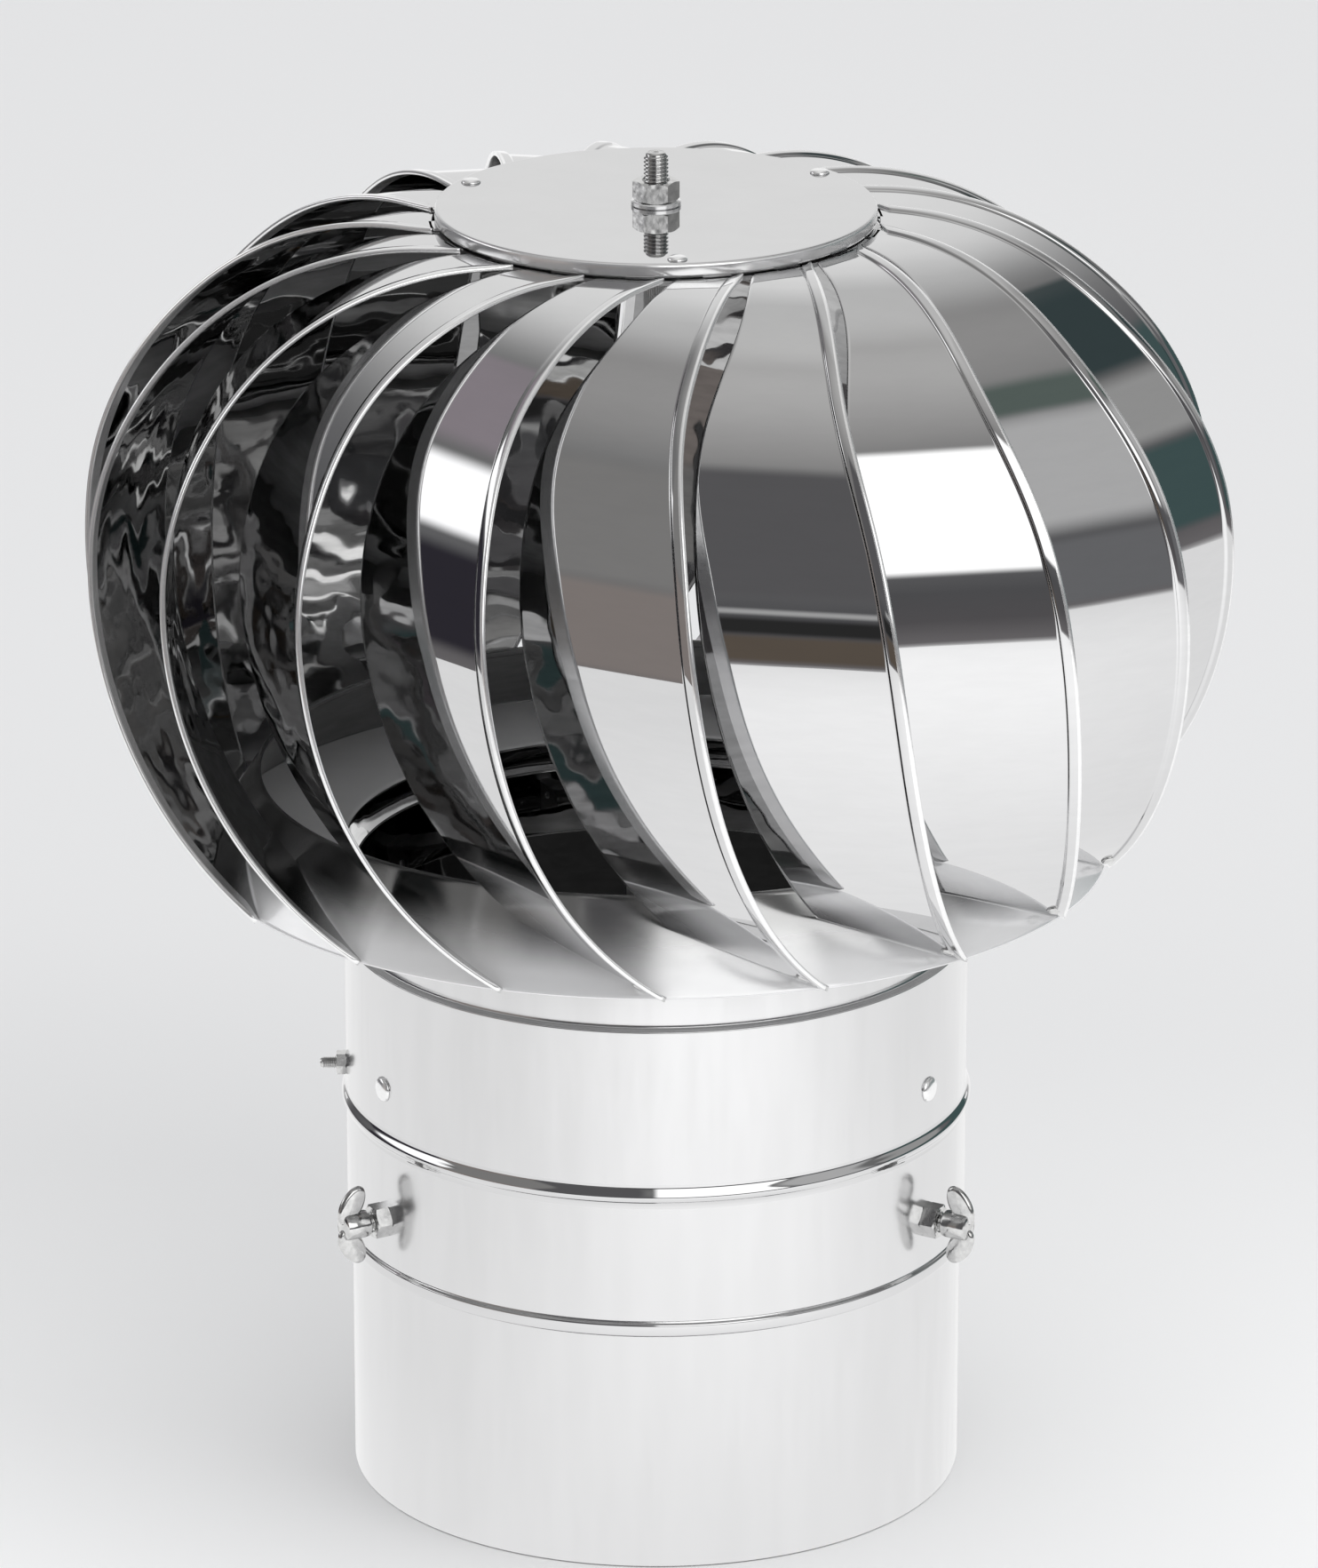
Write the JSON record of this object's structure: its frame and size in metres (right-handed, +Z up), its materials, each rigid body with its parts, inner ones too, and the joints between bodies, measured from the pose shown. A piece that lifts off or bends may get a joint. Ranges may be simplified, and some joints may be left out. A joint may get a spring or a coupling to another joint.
{
  "type": "rotating chimney cowl",
  "caption": "Polished steel turbine cowl: a globe of pitched vanes that spins on a shaft above a round flue collar, held to its pipe by wing screws.",
  "frame": {"origin": "centre of the flue pipe's open lower end, which is the lowest plane of the cowl", "axes": "+Z up along the shaft, which the rotor turns about; -Y towards the picture's camera"},
  "size_m": [0.3706, 0.3714, 0.4445],
  "materials": {
    "mirror_steel": "mirror polished stainless sheet",
    "satin_steel": "bright rolled stainless sheet",
    "dark_steel": "plain stainless bar inside the cowl",
    "fastener_steel": "bright zinc or stainless fasteners",
    "bush_bronze": "oil-filled sintered bronze"
  },
  "bodies": {
    "base": {"spigot_pipe": "satin_steel", "base_collar": "satin_steel", "bearing_housing": "dark_steel", "carrier_arm_1": "dark_steel", "carrier_arm_2": "dark_steel", "carrier_arm_3": "dark_steel", "carrier_rivets": "fastener_steel", "upper_bush": "bush_bronze", "lower_bush": "bush_bronze", "clamp_nuts": "fastener_steel", "seam_screw": "fastener_steel", "seam_nut": "fastener_steel"},
    "rotor": {"vane_01": "mirror_steel", "vane_02": "mirror_steel", "vane_03": "mirror_steel", "vane_04": "mirror_steel", "vane_05": "mirror_steel", "vane_06": "mirror_steel", "vane_07": "mirror_steel", "vane_08": "mirror_steel", "vane_09": "mirror_steel", "vane_10": "mirror_steel", "vane_11": "mirror_steel", "vane_12": "mirror_steel", "vane_13": "mirror_steel", "vane_14": "mirror_steel", "vane_15": "mirror_steel", "vane_16": "mirror_steel", "vane_17": "mirror_steel", "vane_18": "mirror_steel", "skirt_ring": "mirror_steel", "top_disc": "mirror_steel", "vane_ring": "dark_steel", "clamp_ring": "dark_steel", "cap_rivets": "fastener_steel", "shaft": "fastener_steel", "top_washer": "fastener_steel", "under_washer": "fastener_steel", "lock_washer": "fastener_steel", "top_nut": "fastener_steel", "under_nut": "fastener_steel", "lock_nut": "fastener_steel", "thrust_washer": "bush_bronze", "shaft_collar": "dark_steel", "grub_screw": "fastener_steel"},
    "wing_screw_1": {"wing_screw_1": "fastener_steel"},
    "wing_screw_2": {"wing_screw_2": "fastener_steel"},
    "wing_screw_3": {"wing_screw_3": "fastener_steel"}
  },
  "joints": [
    {"name": "rotor_spin", "type": "hinge", "parent": "base", "child": "rotor", "pos_m": [0, 0, 0.159], "axis": [0, 0, 1], "continuous": true},
    {"name": "wing_turn_1", "type": "hinge", "parent": "base", "child": "wing_screw_1", "pos_m": [0.09093, -0.0525, 0.101], "axis": [0.866, -0.5, 0], "continuous": true},
    {"name": "wing_turn_2", "type": "hinge", "parent": "base", "child": "wing_screw_2", "pos_m": [0, 0.105, 0.101], "axis": [0, 1, 0], "continuous": true},
    {"name": "wing_turn_3", "type": "hinge", "parent": "base", "child": "wing_screw_3", "pos_m": [-0.09093, -0.0525, 0.101], "axis": [-0.866, -0.5, 0], "continuous": true}
  ]
}
